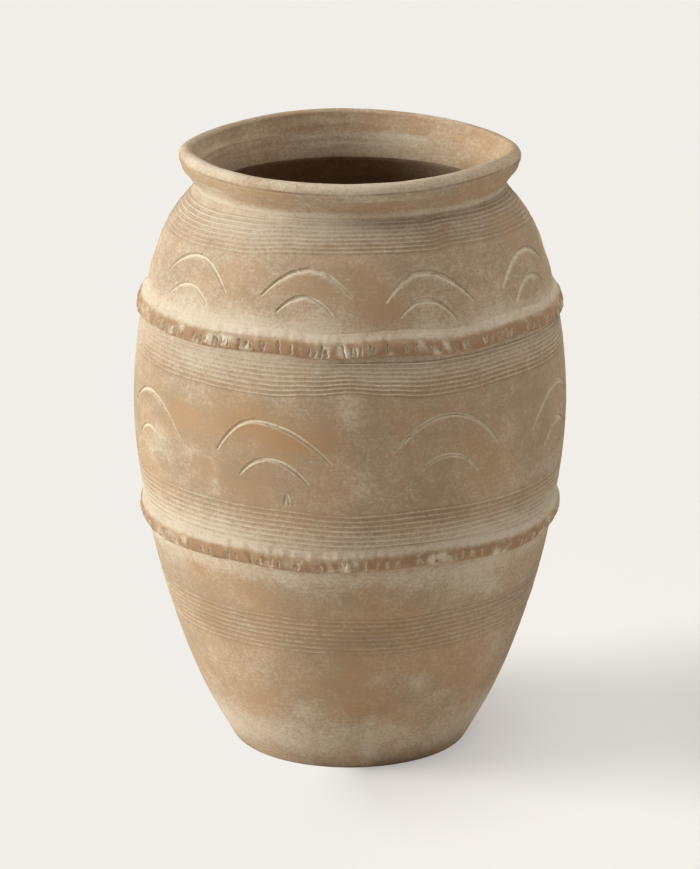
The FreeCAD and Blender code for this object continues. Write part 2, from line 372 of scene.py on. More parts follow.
wash = {
    "veil": 0.2, "inside": 0.25, "onRidge": 0.32, "betweenRidges": -0.1,
    "clouds": ((0.1, 42, 3.1, 1), (0.07, 16, 9.4, 1.6)),  # strength, size, seed, flat
}
# the band at 20 mm is partly painted light: the brightness that light bounced from the floor gives the foot
washBands = ((396, 18, 9, 0.30), (322, 5, 9, 0.42), (306, 15, 6, 0.34), (175, 6, 18, 0.44), (159, 8, 6, 0.34),
             (20, 13, 18, 0.30))
washPatches = (
    (-40, 383, 24, 11, 0.30), (-5, 388, 22, 8, 0.22), (30, 378, 10, 8, -0.14), (60, 376, 12, 8, -0.16),
    (-52, 364, 14, 12, 0.14), (-38, 328, 26, 9, 0.30), (-52, 338, 8, 6, 0.24), (-8, 333, 7, 10, 0.30),
    (-12, 352, 14, 10, -0.04), (21, 342, 6, 16, 0.20), (45, 329, 9, 9, 0.22), (44, 346, 5, 16, 0.10),
    (10, 337, 6, 10, -0.28), (64, 350, 8, 8, 0.10), (-68, 346, 8, 10, 0.06), (-82, 352, 14, 40, 0.24),
    (-82, 286, 12, 16, 0.16), (-46, 294, 12, 10, 0.14), (12, 296, 12, 10, 0.20), (-45, 276, 5, 8, 0.16),
    (-20, 284, 9, 7, 0.10),
    (-0.5, 276, 3, 12, 0.26), (2.5, 229, 4, 8, 0.22), (-58, 238, 6, 9, 0.26), (-64, 224, 6, 7, 0.24),
    (-46, 234, 4, 6, 0.18), (-37, 221, 1.6, 13, 0.26), (-25, 254, 1.3, 10, 0.14), (10, 214, 12, 10, 0.10),
    (26, 228, 7, 6, 0.10), (47, 248, 5, 9, 0.10), (48, 214, 5, 7, 0.14), (66, 214, 10, 8, 0.18),
    (48, 286, 4, 10, 0.08), (-40, 188, 16, 12, 0.12), (30, 184, 16, 8, 0.10), (45, 178, 16, 7, 0.22),
    (20, 150, 8, 9, 0.22), (38, 150, 9, 12, 0.38), (45, 138, 4, 10, 0.30), (29, 137, 5, 9, 0.18),
    (-18, 150, 8, 8, 0.14), (-8, 146, 7, 7, 0.10), (60, 140, 12, 16, 0.16), (-62, 148, 12, 12, 0.12),
    (24, 72, 4, 10, 0.18), (31, 56, 5, 9, 0.24), (10, 77, 5, 5, 0.14), (54, 88, 6, 22, 0.12),
    (40, 105, 14, 18, 0.06), (-30, 80, 9, 12, 0.14), (-46, 84, 8, 18, 0.10), (-16, 50, 10, 9, 0.20),
    (-34, 30, 14, 12, 0.16), (7.5, 26, 2.6, 19, 0.30), (16, 33, 7, 8, 0.26), (-2, 34, 5, 8, 0.18),
    # the last two patches, on the foot's sides, are partly painted light bounced up from the floor
    (44, 18, 3, 5, 0.16), (-56, 30, 12, 18, 0.2), (68, 26, 18, 22, 0.34), (-70, 24, 16, 22, 0.14),
)
# where the clay shows bare and redder
barePatches = (
    (-26, 262, 13, 16, 0.22), (-50, 257, 7, 13, 0.24), (-27, 222, 9, 15, 0.18), (-6, 258, 5, 14, 0.14),
    (-48, 150, 4, 5, 0.22), (-45, 115, 5, 16, 0.18), (-26, 138, 8, 14, 0.12), (-8, 118, 14, 18, 0.10),
    (0, 78, 6, 26, 0.14), (4, 53, 8, 6, 0.18), (14, 60, 6, 12, 0.08), (-30, 56, 9, 6, 0.08),
    (-12, 72, 6, 8, 0.08), (22, 212, 7, 8, 0.08), (34, 260, 14, 20, 0.06), (58, 258, 8, 16, 0.06),
    (40, 76, 8, 14, 0.06), (-14, 252, 8, 9, 0.24), (-40, 228, 5, 8, 0.16),
)
# round the back the wash lies in patches of the same sizes
backPatches = [(random.uniform(80, 280), random.uniform(15, 385), random.uniform(4, 14), random.uniform(7, 16),
                random.uniform(-0.15, 0.28)) for i in range(70)]


def patchSum(bearing, height, patches):
    total = np.zeros(len(bearing))
    for middle, level, halfTurn, half, strength in patches:
        total += strength * np.exp(-(around(bearing, middle) / halfTurn) ** 2 - ((height - level) / half) ** 2)
    return total


def washCover(bearing, height, ridge=0, inBand=0):
    cover = np.full(len(bearing), wash["veil"])
    for middle, below, above, strength in washBands:
        cover += strength * bell(height - middle, np.where(height < middle, below, above))
    cover += patchSum(bearing, height, washPatches) - patchSum(bearing, height, barePatches)
    cover += patchSum(bearing, height, backPatches)
    for strength, size, seed, flat in wash["clouds"]:
        cover += strength * clayNoise(bearing, height, size, seed, flat)
    return cover + wash["onRidge"] * ridge + wash["betweenRidges"] * inBand * (1 - ridge)


# Materials

def addNode(tree, kind, settings=None, **links):
    # one node: settings are its own values, links are values or outputs for its inputs; i0 is the first input
    node = tree.nodes.new(kind)
    for name, value in (settings or {}).items():
        setattr(node, name, value)
    for name, value in links.items():
        numbered = name[0] == "i" and name[1:].isdigit()
        socket = node.inputs[int(name[1:]) if numbered else name.replace("_", " ")]
        if isinstance(value, bpy.types.NodeSocket):
            tree.links.new(value, socket)
        else:
            socket.default_value = value
    return node


def emptyMaterial(name):
    material = bpy.data.materials.new(name)
    material.use_nodes = True
    material.node_tree.nodes.clear()
    return material, material.node_tree


paintKeys = ("wash", "rub", "fill", "paintedShade", "warm")
terracotta = {  # low-fired terracotta, scraped and unglazed: matte, speckled, with level wiping marks
    "clay": "#AA8C6B", "warmClay": "#AB8761", "greyClay": "#9E876B", "speck": "#7A644C", "rubbed": "#9C7C5E",
    # the last colour is painted shade: a dark brown laid into creases, grooves and under the cordons' edges
    "chalk": "#CCBEA7", "fill": "#E0D2B7", "paintedShade": "#5A4431",
    # sizes in mm; level: how much longer than tall the wiping marks are
    "blotch": 48, "mottle": 11, "fleck": 2.6, "grain": 0.8, "streak": 12, "pinhole": 5.5, "level": 9,
    # how far each pattern breaks up the wash, and the sums between which it goes from bare to covered
    "mottleShare": 0.5, "streakShare": 0.4, "fleckShare": 0.9, "grainShare": 0.9, "rubShare": -0.3,
    "bare": 1.35, "covered": 2.3, "thickest": 0.95,
    "roughness": 0.92, "specular": 0.2, "bumpStrength": 0.4, "bumpDepth": 0.5,
}


def makeTerracotta(name, finish):
    material, tree = emptyMaterial(name)
    place = addNode(tree, "ShaderNodeTexCoord").outputs["Object"]
    level = addNode(tree, "ShaderNodeMapping", Vector=place, Scale=(1, 1, finish["level"])).outputs[0]
    painted = {key: addNode(tree, "ShaderNodeAttribute", {"attribute_name": key}).outputs["Fac"]
               for key in paintKeys}

    def cloud(size, detail, vector=place, rough=0.55):
        return addNode(tree, "ShaderNodeTexNoise", Vector=vector, Scale=1 / (size * mm), Detail=detail,
                       Roughness=rough).outputs["Fac"]

    def blend(share, low, high):
        return addNode(tree, "ShaderNodeMix", {"data_type": "RGBA"}, i0=share, i6=low,
                       i7=hexColour(finish[high])).outputs[2]

    def times(first, second, added=0.0):
        return addNode(tree, "ShaderNodeMath", {"operation": "MULTIPLY_ADD"}, i0=first, i1=second,
                       i2=added).outputs[0]

    def between(value, low, high):
        return addNode(tree, "ShaderNodeMapRange", {"interpolation_type": "SMOOTHSTEP"}, Value=value,
                       From_Min=low, From_Max=high).outputs[0]

    blotch = cloud(finish["blotch"], detail=2)
    mottle = cloud(finish["mottle"], detail=4, rough=0.6)
    fleck = cloud(finish["fleck"], detail=3, rough=0.65)
    grain = cloud(finish["grain"], detail=2, rough=0.6)
    streak = cloud(finish["streak"], detail=5, vector=level, rough=0.62)

    # clay: soft warm and grey patches, level streaks and dark specks
    clay = blend(between(blotch, 0.35, 0.65), hexColour(finish["greyClay"]), "clay")
    clay = blend(between(times(mottle, 0.7, times(painted["warm"], 1.5)), 0.3, 1.0), clay, "warmClay")
    clay = blend(times(between(streak, 0.5, 0.8), 0.3), clay, "greyClay")
    clay = blend(times(painted["rub"], between(mottle, 0.1, 0.5)), clay, "rubbed")
    clay = blend(times(between(fleck, 0.56, 0.78), 0.35), clay, "speck")

    # chalk: lies where the wash was brushed, thin and broken at its edges
    cover = painted["wash"]
    for pattern, share in ((mottle, "mottleShare"), (streak, "streakShare"), (fleck, "fleckShare"),
                           (grain, "grainShare"), (painted["rub"], "rubShare")):
        cover = times(pattern, finish[share], cover)
    chalk = times(between(cover, finish["bare"], finish["covered"]), finish["thickest"])
    colour = blend(chalk, clay, "chalk")
    colour = blend(times(painted["fill"], between(fleck, 0.2, 0.5)), colour, "fill")
    # painted shade: darkens the colour in creases, grooves and under edges
    colour = blend(times(painted["paintedShade"], 0.7), colour, "paintedShade")

    # relief: grain, level wiping marks and pinholes
    pits = addNode(tree, "ShaderNodeTexVoronoi", Vector=place, Scale=1 / (finish["pinhole"] * mm))
    pit = between(pits.outputs["Distance"], 0.02, 0.09)
    height = times(pit, 0.4, times(fleck, 0.5, times(streak, 0.5)))
    bump = addNode(tree, "ShaderNodeBump", Height=height, Strength=finish["bumpStrength"],
                   Distance=finish["bumpDepth"] * mm).outputs[0]
    shader = addNode(tree, "ShaderNodeBsdfPrincipled", Base_Color=colour, Roughness=finish["roughness"],
                     Normal=bump, Specular_IOR_Level=finish["specular"])
    addNode(tree, "ShaderNodeOutputMaterial", Surface=shader.outputs[0])
    return material


print("stage: materials")
materials = {
    "washed_terracotta": makeTerracotta("washedTerracotta", terracotta),
    "lip_terracotta": makeTerracotta("lipTerracotta", {**terracotta, "streak": 9, "mottle": 8}),
    "rubbed_terracotta": makeTerracotta("rubbedTerracotta", {**terracotta, "mottle": 6}),
}


# Pieces

def spinSection(section, steps, closed=True):
    # a body of revolution from its section, a list of (radius, height): a closed ring, or an open line
    # whose inner hole is filled
    bm = bmesh.new()
    corners = [bm.verts.new((radius * mm, 0, height * mm)) for radius, height in section]
    following = corners[1:] + corners[:1] if closed else corners[1:]
    edges = [bm.edges.new(ends) for ends in zip(corners, following)]
    bmesh.ops.spin(bm, geom=corners + edges, cent=(0, 0, 0), axis=(0, 0, 1), angle=math.tau, steps=steps,
                   use_merge=True)
    if not closed:
        bmesh.ops.holes_fill(bm, edges=[edge for edge in bm.edges if edge.is_boundary])
    bmesh.ops.recalc_face_normals(bm, faces=bm.faces[:])
    return bm


def asBearings(spots):
    # places in metres as bearing, radius and height in mm
    spots = np.array(spots) / mm
    return np.degrees(np.arctan2(spots[:, 0], -spots[:, 1])), np.hypot(spots[:, 0], spots[:, 1]), spots[:, 2]


def places(bm):
    return asBearings([vert.co[:] for vert in bm.verts])


def unevenness(bearing, height):
    # hand-raised clay is never quite round; it only ever stays inside the true outline
    return jar["wobble"] * (clayNoise(bearing, height, size=70, seed=5.7) - 0.5)


def moveTo(bm, bearing, radius, height):
    turn = np.radians(bearing)
    spots = np.column_stack((radius * np.sin(turn), -radius * np.cos(turn), height)) * mm
    for vert, spot in zip(bm.verts, spots):
        vert.co = spot


def finishPiece(bm, name, node, slotName, paint, sharp=38):
    # paint maps an attribute to its value at each vertex, or everywhere
    mesh = bpy.data.meshes.new(name)
    bm.to_mesh(mesh)
    bm.free()
    for key in paintKeys:
        values = np.full(len(mesh.vertices), paint.get(key, 0), np.float32)
        mesh.attributes.new(key, "FLOAT", "POINT").data.foreach_set("value", values)
    mesh.shade_smooth()
    mesh.set_sharp_from_angle(angle=math.radians(sharp))
    mesh.materials.append(materials[slotName])
    piece = bpy.data.objects.new(name, mesh)
    bpy.context.scene.collection.objects.link(piece)
    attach(piece, "root")
    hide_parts(node)
    print("stage:", name, len(mesh.vertices), "points")


def evenRows(low, high, step):
    count = max(1, math.ceil((high - low) / step))
    return list(np.linspace(low, high, count + 1))


def combRows(name):
    # rows of the mesh across a comb band: six to each tooth
    band = combBands[name]
    teeth = [i + share for i in range(comb["ridges"]) for share in comb["rowShares"]]
    return [band["low"] + band["pitch"] * place for place in teeth + [comb["ridges"] - 1 + comb["lastRow"]]]


def outsideLine(low, high, bands, step):
    # the outside of a wall's section, upwards, with rows along the comb lines
    rows = []
    start = low
    for name in bands:
        across = combRows(name)
        rows += evenRows(start, across[0], step)[:-1] + across
        start = across[-1]
    rows += evenRows(start, high, step)[1:]
    return [(float(wallRadius(height)), height) for height in rows]


def insideLine(low, high, step):
    # downwards, to close the section that outsideLine begins
    return [(float(insideRadius(height)), height) for height in evenRows(low, high, step)[::-1]]


def jointUnder(which):
    # a slanted joint, hidden by its cordon: the heights of its outer and inner edge
    low = cordons[which]["height"] + cordonShape["rise"] * cordonShape["joint"]
    return low, low + cordonShape["scarfRise"]


def refineArcs(bm, arcs):
    # the mesh is finer where the stick cut
    bearing, radius, height = asBearings([face.calc_center_median()[:] for face in bm.faces])
    outside = radius > outlineRadius(height) - 2
    chosen = np.zeros(len(bearing), bool)
    for arc in arcs:
        close = nearBox(bearing, height, arc)
        chosen[close] |= outside[close] & (nearArc(bearing[close], height[close], arc)[0] < stroke["meshReach"])
    bm.faces.index_update()
    edges = [edge for edge in bm.edges if any(chosen[face.index] for face in edge.link_faces)]
    bmesh.ops.subdivide_edges(bm, edges=edges, cuts=stroke["meshCuts"], use_grid_fill=True)


def raiseWall(name, node, section, arcs):
    bm = spinSection(section, jar["steps"])
    if arcs:
        refineArcs(bm, arcs)
    bearing, radius, height = places(bm)
    outside = 1 - smooth(*jar["skin"], wallRadius(height) - radius)
    inBand, ridge, under = [share * outside for share in combRidges(height)]
    worn = np.clip(0.95 + 0.5 * clayNoise(bearing, height, size=18, seed=15.2, flat=3), 0.5, 1.1)
    ridge = ridge * worn
    settled = np.where(outside > 0.5, movedHeight(bearing, height), height)
    relief, fill, paintedShade = cutArcs(bearing, settled, arcs)
    relief = (relief + inBand * (ridge * (comb["depth"] + comb["proud"]) - comb["depth"])) * outside
    out, up = wallLean(np.clip(settled, 0.6, jar["neckHeight"] - 0.6))
    slide = np.where(outside > 0.5, wallRadius(settled) - wallRadius(height), 0)
    moveTo(bm, bearing, radius + slide + unevenness(bearing, height) + relief * out, settled + relief * up)
    warm = patchSum(bearing, settled, barePatches)
    finishPiece(bm, name, node, "washed_terracotta", {
        "wash": washCover(bearing, settled, ridge, inBand) * outside + (1 - outside) * wash["inside"],
        # the dark lines are painted shade: along the arcs' grooves and under each comb ridge
        "fill": fill * outside, "paintedShade": np.maximum(paintedShade * outside, comb["shade"] * under),
        "warm": warm + 0.12 * clayNoise(bearing, settled, size=50, seed=12.3),
    })


print("stage: walls")
lowOuter, lowInner = jointUnder("lower")
highOuter, highInner = jointUnder("upper")

lowerWall = {
    "bands": ("low",), "row": 2.2, "insideRow": 20, "footTop": 2.2,
    "footEdge": [(jar["floorRadius"], 0.0), (jar["footRadius"] - jar["footBevel"], 0.0), (81.6, 0.35),
                 (82.4, 1.0)],
}
raiseWall("lowerWall", "lower_wall", lowerWall["footEdge"]
          + outsideLine(lowerWall["footTop"], lowOuter, lowerWall["bands"], lowerWall["row"])
          + insideLine(jar["floorThickness"], lowInner, lowerWall["insideRow"]), [])

bellyWall = {"bands": ("aboveLower", "underUpper"), "row": 2.0, "insideRow": 20}
raiseWall("bellyWall", "belly_wall", outsideLine(lowOuter, highOuter, bellyWall["bands"], bellyWall["row"])
          + insideLine(lowInner, highInner, bellyWall["insideRow"]), lowerArcs)

shoulderWall = {"bands": ("neck",), "row": 1.9, "insideRow": 12}
raiseWall("shoulderWall", "shoulder_wall",
          outsideLine(highOuter, jar["neckHeight"], shoulderWall["bands"], shoulderWall["row"])
          + insideLine(highInner, neckInner[1], shoulderWall["insideRow"]), upperArcs)

# a slab, flat below, with a slow spiral from the potter's fingers above
floorDisc = {"fingerDepth": 0.4, "fingerPitch": 2.6, "innermost": 4, "edge": 3, "step": 2, "steps": 180}


def makeFloorDisc():
    rim = float(insideRadius(jar["floorThickness"]))
    radii = range(floorDisc["innermost"], int(rim) - floorDisc["edge"], floorDisc["step"])
    top = [(radius, jar["floorThickness"]
            - floorDisc["fingerDepth"] * (1 - math.cos(radius / floorDisc["fingerPitch"]))) for radius in radii]
    section = [(jar["floorRadius"], 0.0), (rim, jar["floorThickness"])] + top[::-1]
    bm = spinSection(section, floorDisc["steps"], closed=False)
    bearing, radius, height = places(bm)
    moveTo(bm, bearing, radius + unevenness(bearing, height), height)
    finishPiece(bm, "floorDisc", "floor_disc", "washed_terracotta", {"wash": wash["veil"]})


makeFloorDisc()


print("stage: collar and lip")
collar = {
    "rise": 13.5, "flare": 8.4, "throatStep": 1.8, "throatLift": 2.5, "mouthFlare": 5.0, "mouthBend": 1.4,
    "shares": ((0, 0), (0.08, 0.03), (0.18, 0.09), (0.34, 0.22), (0.5, 0.37), (0.65, 0.53), (0.8, 0.72),
               (0.93, 0.91), (1, 1)),
    "row": 0.45, "insideRows": 14,
    # level ridges from the fingers as (height, push), and the painted shade line in the crease at the foot
    "ridges": ((397.5, 0.12), (400.8, -0.18), (403.6, 0.15), (405.6, -0.12)), "ridgeHalf": 0.7,
    "paintedShade": 0.3, "paintedShadeHeight": 393.6, "paintedShadeHalf": 0.5,
    # where its paint changes, as heights with half heights and bearings with half widths
    "footWash": (395.5, 2.5), "thinner": (397, 400), "redHeight": (402, 5), "litLeftWash": (-56, 18),
    "backWash": (176, 42),
}
collar["top"] = jar["neckHeight"] + collar["rise"]
collar["topRadius"] = jar["neckRadius"] + collar["flare"]
collar["throat"] = neckInner[0] - collar["throatStep"]
collar["throatHeight"] = neckInner[1] + collar["throatLift"]
collar["mouth"] = collar["throat"] + collar["mouthFlare"]
lip = {
    "height": collar["top"] + 12.9, "radius": collar["topRadius"] - 2.8, "half": 5.3, "wave": 1.64,
    "waves": ((3, 1.0, 58.0), (2, 0.41, 30.0), (5, 0.22, -9.0)),  # lobes, share, bearing of the first crest
    "crease": 6.6, "creaseDepth": 0.6, "creaseHalf": 0.55, "edgeBelow": 1.3, "edgeHalf": 0.6, "edgePush": 0.25,
    "rollFrom": -15, "rollTo": 138, "rollRows": 30, "sideRows": 14, "steps": 480, "waveOver": 4.5,
    "frontWash": (12, 28), "litLeftWash": (-50, 40),
}
# bearings and half widths where the fire left the mouth redder on the outside, and where the inside, in shade
# on the left, is painted less warm
mouthFire = {"redder": (-27, 11), "shadedInside": (-100, 40)}


def atBearing(bearing, place):
    return bell(around(bearing, place[0]), place[1])


def atHeight(height, place):
    return bell(height - place[0], place[1])


def insideWarmth(bearing):
    # painted shade: less warm on the inside's left, which lies in shade
    return 0.2 - 0.3 * atBearing(bearing, mouthFire["shadedInside"])


def lipRise(bearing):
    # how far the crest stands above or below its mean
    return lip["wave"] * sum(share * np.cos(np.radians(lobes * (bearing - crest)))
                             for lobes, share, crest in lip["waves"])


def makeCollar():
    up, out = zip(*collar["shares"])
    rows = evenRows(jar["neckHeight"], collar["top"], collar["row"])
    shares = np.interp((np.array(rows) - jar["neckHeight"]) / collar["rise"], up, out)
    outer = [(jar["neckRadius"] + collar["flare"] * float(share), row) for share, row in zip(shares, rows)]
    depth = collar["top"] - collar["throatHeight"]
    inner = [(collar["throat"] + collar["mouthFlare"] * share ** collar["mouthBend"],
              collar["throatHeight"] + depth * share) for share in np.linspace(1, 0, collar["insideRows"])]
    bm = spinSection(outer + inner + [neckInner], lip["steps"])
    bearing, radius, height = places(bm)
    middle = (jar["neckRadius"] + collar["throat"]) / 2
    outside = smooth(middle, middle + 2, radius)
    streaks = clayNoise(bearing, height, size=22, seed=2.2, flat=16) * 0.22
    for level, push in collar["ridges"]:
        streaks += push * bell(height - level, collar["ridgeHalf"])
    # none of it where the collar meets the shoulder and the lip
    streaks *= smooth(jar["neckHeight"], jar["neckHeight"] + 2, height)
    streaks *= 1 - smooth(collar["top"] - 1.5, collar["top"], height)
    streaks *= np.where(outside > 0.5, 1, -0.8)
    moveTo(bm, bearing, radius + unevenness(bearing, height) + streaks, height)
    redder = atBearing(bearing, mouthFire["redder"]) * atHeight(height, collar["redHeight"])
    cover = 0.34 - 0.2 * redder + 0.2 * clayNoise(bearing, height, size=30, seed=8.8, flat=2.5)
    # paler on the lit left: partly chalk, partly painted light
    cover += 0.3 * (atHeight(height, collar["footWash"]) + atBearing(bearing, collar["litLeftWash"])) * outside
    cover -= 0.11 * smooth(*collar["thinner"], height) * outside
    cover += (0.32 * atBearing(bearing, collar["backWash"]) - 0.08) * (1 - outside)
    finishPiece(bm, "neckCollar", "neck_collar", "washed_terracotta", {
        "wash": cover, "warm": np.where(outside > 0.5, 0.4 * redder - 0.22, insideWarmth(bearing)),
        # painted shade in the crease where the collar meets the shoulder
        "paintedShade": collar["paintedShade"] * bell(height - collar["paintedShadeHeight"], collar["paintedShadeHalf"]) * outside,
    })


def sideOfLip(start, end, bend):
    # from one (radius, height) to another, bending a little
    return [(start[0] + (end[0] - start[0]) * share ** bend, start[1] + (end[1] - start[1]) * share)
            for share in np.linspace(0, 1, lip["sideRows"])]


def makeLip():
    middle = lip["height"] - lip["half"]
    roll = [(lip["radius"] + lip["half"] * math.cos(turn), middle + lip["half"] * math.sin(turn))
            for turn in np.radians(np.linspace(lip["rollFrom"], lip["rollTo"], lip["rollRows"]))]
    up = sideOfLip((collar["topRadius"], collar["top"]), roll[0], 0.8)[:-1]
    down = sideOfLip(roll[-1], (collar["mouth"], collar["top"]), 1.15)[1:]
    bm = spinSection(up + roll + down, lip["steps"])
    bearing, radius, height = places(bm)
    rises = smooth(collar["top"], collar["top"] + lip["waveOver"], height)
    outside = radius > lip["radius"]
    # a broken crease under the roll, with a low swell below it
    creaseLevel = lip["height"] - lip["crease"]
    broken = np.clip(0.6 + 0.9 * clayNoise(bearing, height * 0, size=20, seed=4.4), 0.15, 1)
    crease = bell(height - creaseLevel, lip["creaseHalf"]) * broken * outside
    lowEdge = lip["edgePush"] * bell(height - creaseLevel + lip["edgeBelow"], lip["edgeHalf"]) * outside
    soft = 0.25 * clayNoise(bearing, height, size=26, seed=6.1)
    push = (soft * rises - lip["creaseDepth"] * crease + lowEdge - 0.15) * rises
    pushOut, pushUp = (radius - lip["radius"]) / lip["half"], (height - middle) / lip["half"]
    push /= np.maximum(np.hypot(pushOut, pushUp), 1)
    moveTo(bm, bearing, radius + unevenness(bearing, height) + push * pushOut,
           height + lipRise(bearing) * rises + push * pushUp)
    below = 1 - smooth(creaseLevel - 0.6, creaseLevel + 0.6, height)
    warm = 0.1 - below * (0.3 - 0.4 * atBearing(bearing, mouthFire["redder"]))
    cover = 0.38 + 0.22 * clayNoise(bearing, height, size=24, seed=1.9, flat=2)
    cover += 0.3 * atBearing(bearing, lip["frontWash"])
    # a paler band along the crest on the lit left: partly chalk, partly painted highlight
    cover += 0.25 * bell(height - lip["height"] + 1, 3) * atBearing(bearing, lip["litLeftWash"])
    cover -= 0.1 * (1 - smooth(lip["radius"] - 5, lip["radius"], radius)) + 0.26 * below * outside
    finishPiece(bm, "rimRoll", "rim_roll", "lip_terracotta", {
        # the crease is darkened with painted shade
        "wash": cover, "fill": 0.35 * lowEdge, "paintedShade": 0.65 * crease,
        "warm": np.where(outside, warm, insideWarmth(bearing)),
    })


makeCollar()
makeLip()


print("stage: cordons")
# Marks pressed across a cordon: (bearing, kind, size). A slit is cut with the stick's edge, a vee is two slits
# that meet, a blob is its end pushed in, and a line runs the whole height of the face.
marks = {
    "slit": {"wide": 1.9, "tall": 6.2, "deep": 1.5}, "line": {"wide": 1.9, "tall": 8.8, "deep": 1.8},
    "blob": {"wide": 3.6, "tall": 4.8, "deep": 1.5}, "vee": {"wide": 1.6, "tall": 6.8, "deep": 1.4},
}
marksBehind = {"clear": 3, "kinds": ("slit", "slit", "slit", "line", "blob", "vee"), "sizes": (0.75, 1.1),
               "gaps": (1.2, 4.6)}
markChance = {"shift": (-0.7, 0.7), "tilt": (-0.22, 0.22), "width": (0.8, 1.25), "veeSpread": 1.7}
upperMarks = [
    (-61.5, "slit", 1), (-60.2, "slit", 1), (-58.5, "line", 1), (-57.5, "slit", 0.9), (-55, "blob", 1.1),
    (-52.5, "vee", 1), (-49.5, "slit", 0.8), (-45.5, "slit", 1), (-44, "slit", 0.9), (-42.5, "slit", 1),
    (-41, "blob", 0.8), (-38.2, "slit", 1.1), (-37, "slit", 1), (-35.8, "slit", 0.9), (-34.5, "blob", 0.7),
    (-33.5, "slit", 0.8), (-30.2, "line", 1), (-28, "blob", 1), (-26.6, "slit", 0.7), (-23.2, "vee", 0.9),
    (-18.8, "line", 0.95), (-15.4, "slit", 1), (-10.5, "slit", 0.8), (-9, "blob", 0.8), (-7.5, "line", 1.05),
    (-6.2, "blob", 1), (-1.7, "line", 1.1), (0.4, "slit", 0.9), (1.5, "slit", 0.9), (2.8, "slit", 0.8),
    (4.8, "vee", 1), (6.2, "slit", 0.7), (9.6, "line", 1), (14.8, "slit", 0.9), (17.2, "slit", 0.8),
    (20.6, "blob", 0.9), (24.8, "slit", 0.8), (28.8, "line", 1.15), (31.5, "blob", 1.1), (38, "blob", 1),
    (40, "slit", 0.7), (42.5, "slit", 0.9), (45.8, "slit", 1), (47.2, "vee", 1), (54.5, "slit", 0.8),
    (57.5, "slit", 1),
]
lowerMarks = [
    (-58.8, "vee", 1.1), (-54.8, "blob", 1), (-51.5, "slit", 1), (-48, "slit", 1), (-43.4, "blob", 0.9),
    (-40.2, "slit", 1), (-34.3, "vee", 1), (-31.4, "slit", 0.8), (-27, "slit", 1), (-24.3, "blob", 0.8),
    (-21.2, "slit", 0.9), (-19, "slit", 0.8), (-14, "blob", 1.1), (-7.8, "blob", 0.9), (-1.8, "vee", 1.15),
    (0.8, "slit", 0.9), (3.8, "line", 0.9), (7, "slit", 0.8), (9.7, "slit", 1), (12.5, "blob", 1),
    (18.5, "blob", 0.9), (23.5, "blob", 1.15), (29, "slit", 0.9), (31, "slit", 1), (34.2, "blob", 0.9),
    (37.5, "slit", 0.8), (41, "slit", 0.9), (47, "vee", 0.9), (52.8, "slit", 0.9), (55, "slit", 0.8),
    (59, "blob", 1),
]


def marksRound(chosen):
    # the same kinds of mark, as closely set, go on round the back
    placed = list(chosen)
    bearing = chosen[-1][0] + marksBehind["clear"]
    while bearing < chosen[0][0] + 360 - marksBehind["clear"]:
        placed.append((bearing, random.choice(marksBehind["kinds"]), random.uniform(*marksBehind["sizes"])))
        bearing += random.uniform(*marksBehind["gaps"])
    return placed


def pressMarks(bearing, up, chosen, radius):
    # depth pressed in, and how pale the clay in it is
    pressed, pale = np.zeros((2, len(bearing)))
    for middle, kind, size in marksRound(chosen):
        mark = marks[kind]
        close = np.nonzero(np.abs(around(bearing, middle)) < cordonShape["markReach"])[0]
        sideways = around(bearing[close], middle) * math.radians(1) * radius
        level = up[close] - cordonShape["markMiddle"] - random.uniform(*markChance["shift"])
        tilt = random.uniform(*markChance["tilt"])
        if kind == "vee":
            offset = np.abs(sideways) - (level / mark["tall"] + 0.5) * markChance["veeSpread"]
        elif kind == "blob":
            offset = sideways + 0.5 * np.sin(level * 1.7 + middle)
        else:
            offset = sideways - tilt * level - 0.25 * np.sin(level * 1.3 + middle)
        across = np.abs(offset) / (mark["wide"] / 2 * size * random.uniform(*markChance["width"]))
        along = np.abs(level) / (mark["tall"] / 2 * size)
        shape = (1 - smooth(0.25, 1.0, across)) * (1 - smooth(0.7, 1.05, along))
        pressed[close] = np.maximum(pressed[close], shape * mark["deep"] * size)
        pale[close] = np.maximum(pale[close], (1 - smooth(0.75, 1.3, across)) * (1 - smooth(0.8, 1.15, along)))
    return pressed, pale


